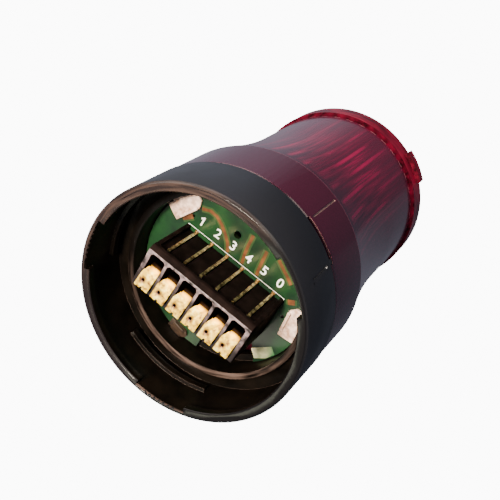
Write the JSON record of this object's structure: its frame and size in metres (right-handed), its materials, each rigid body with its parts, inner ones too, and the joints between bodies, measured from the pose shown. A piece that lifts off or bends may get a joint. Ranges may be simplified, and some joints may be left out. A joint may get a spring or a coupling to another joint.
{
  "type": "strobe light module",
  "caption": "Stackable signal tower strobe module: translucent red lens on a black bayonet collar, with a contact row and board in the open mouth.",
  "frame": {"origin": "centre of the mouth rim's plane, at the foot of the collar", "axes": "+Z along the module's axis from the mouth to the lens top, +X along the contact row, digit side of the board at -Y"},
  "size_m": [0.063, 0.063, 0.1013],
  "materials": {
    "black_plastic": "satin moulded",
    "red_lens": "gloss translucent",
    "seal_rubber": "matte",
    "board_laminate": "solder mask",
    "block_plastic": "satin moulded",
    "contact_brass": "bright stamped",
    "tinned_steel": "bright tinned",
    "white_plastic": "satin moulded",
    "bar_brass": "stamped",
    "spacer_aluminium": "turned",
    "socket_ceramic": "unglazed",
    "tube_glass": "clear",
    "coil_enamel": "enamelled wire",
    "capacitor_sleeve": "shrink sleeve",
    "ferrite": "sintered",
    "resistor_body": "lacquered"
  },
  "bodies": {
    "base": {"collar": "black_plastic", "seal_ring": "seal_rubber", "main_board": "board_laminate", "contact_block": "block_plastic", "spring_contact_1": "contact_brass", "spring_contact_2": "contact_brass", "spring_contact_3": "contact_brass", "spring_contact_4": "contact_brass", "spring_contact_5": "contact_brass", "spring_contact_0": "contact_brass", "board_clip_left": "tinned_steel", "board_clip_right": "tinned_steel", "board_clip_rear": "tinned_steel", "left_post": "white_plastic", "right_post": "white_plastic", "contact_plate": "block_plastic", "line_bar_1": "bar_brass", "line_bar_2": "bar_brass", "line_bar_3": "bar_brass", "line_bar_4": "bar_brass", "line_bar_5": "bar_brass", "line_bar_0": "bar_brass", "tube_board": "board_laminate", "tube_spacers": "spacer_aluminium", "tube_socket": "socket_ceramic", "flash_tube": "tube_glass", "trigger_coil": "coil_enamel", "storage_capacitor": "capacitor_sleeve", "transformer_core": "ferrite", "transformer_winding": "coil_enamel", "power_transistor": "block_plastic", "resistors": "resistor_body"},
    "lens": {"lens": "red_lens"}
  },
  "joints": [
    {"name": "lens_twist", "type": "hinge", "parent": "base", "child": "lens", "pos_m": [0, 0, 0.018], "axis": [0, 0, 1], "range_deg": [0, 21]}
  ]
}
